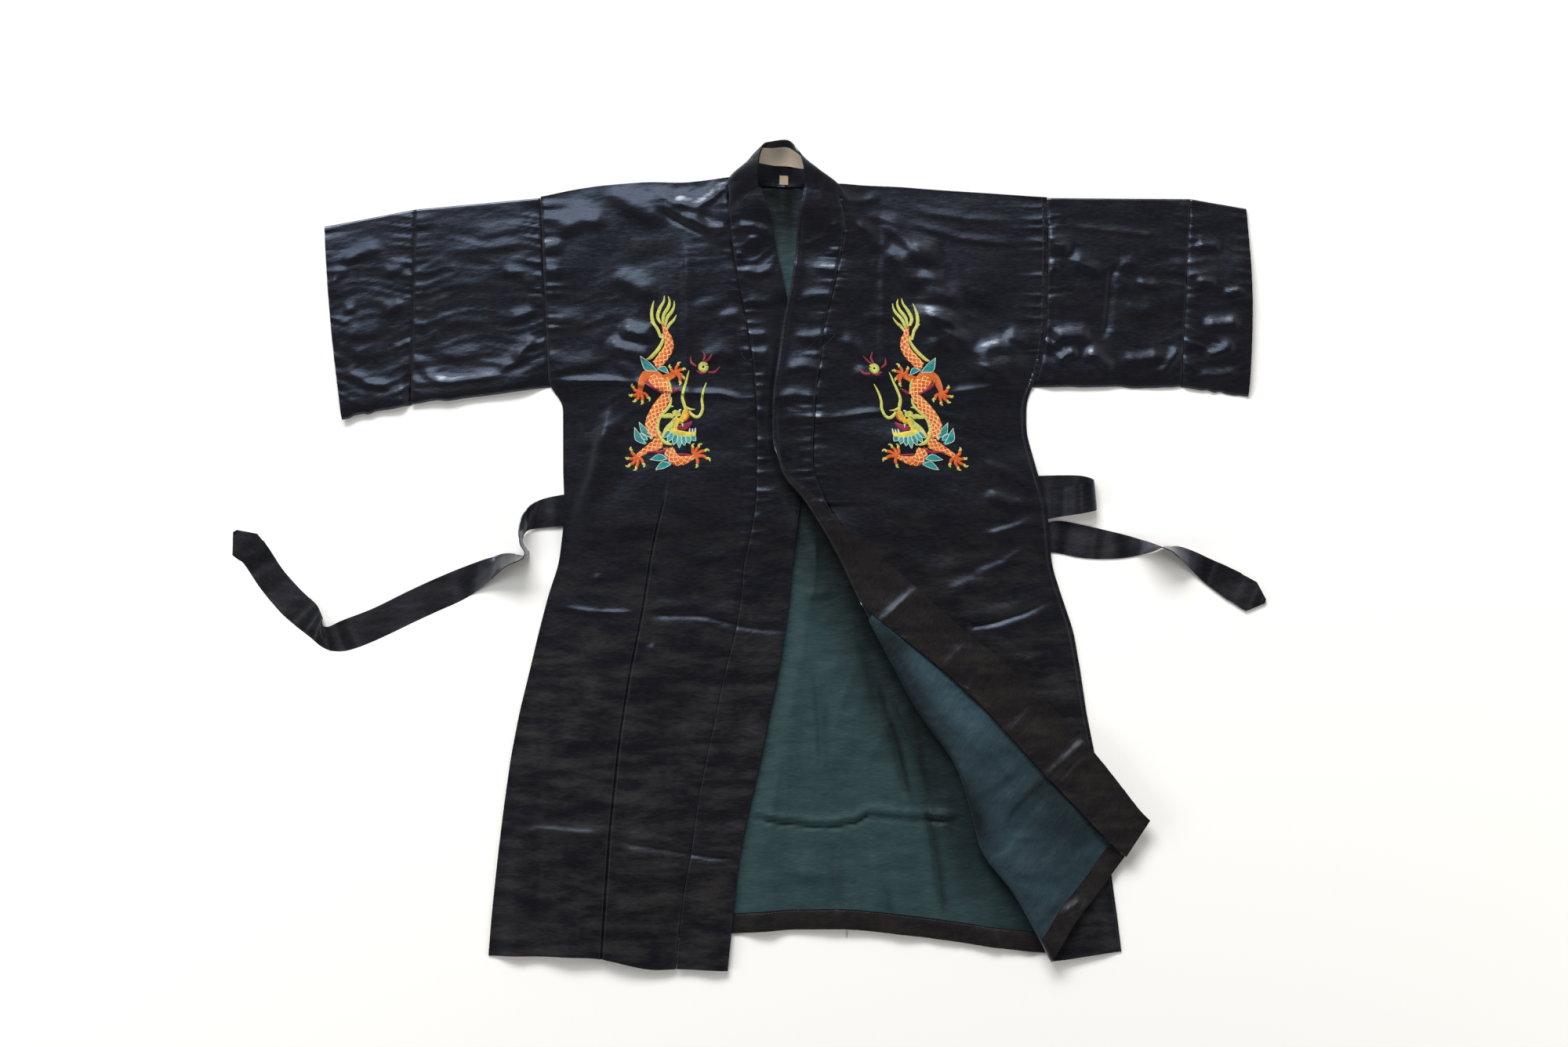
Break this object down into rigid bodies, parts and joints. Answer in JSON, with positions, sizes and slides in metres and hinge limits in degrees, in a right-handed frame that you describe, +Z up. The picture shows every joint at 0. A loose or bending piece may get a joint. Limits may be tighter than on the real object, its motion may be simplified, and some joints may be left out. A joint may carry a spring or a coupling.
{
  "type": "kimono robe",
  "caption": "Satin kimono robe laid flat with its front turned back, showing the lining, with embroidered chest figures and a loose belt.",
  "frame": {"origin": "on the underside of the back panel, on the robe's centre line, a little below the waist", "axes": "+X across the robe along the sleeves, +Y up to the neck, +Z up away from the surface it lies on"},
  "size_m": [1.384, 1.1136, 0.0408],
  "materials": {
    "satin": "near-black navy polyester satin, glossy, with a bluish sheen",
    "lining": "dark teal lining cloth, fine plain weave, low sheen",
    "facing": "brown-black satin seen on its inner side, soft gloss",
    "label": "cream woven label, matt",
    "embroidery": "glossy embroidery thread in orange, yellow, teal and dark red"
  },
  "bodies": {
    "root": {"back_panel": "satin", "back_lining": "lining", "back_hem_facing": "facing", "left_front": "satin", "left_band": "satin", "right_front": "satin", "right_band": "satin", "right_front_lining": "lining", "right_hem_facing": "facing", "left_sleeve": "satin", "left_sleeve_end": "satin", "right_sleeve": "satin", "right_sleeve_end": "satin", "neck_band": "satin", "neck_label": "label", "size_tag": "label", "belt_left": "satin", "belt_back": "satin", "belt_right_loop": "satin", "belt_right_tail": "satin"}
  },
  "joints": []
}
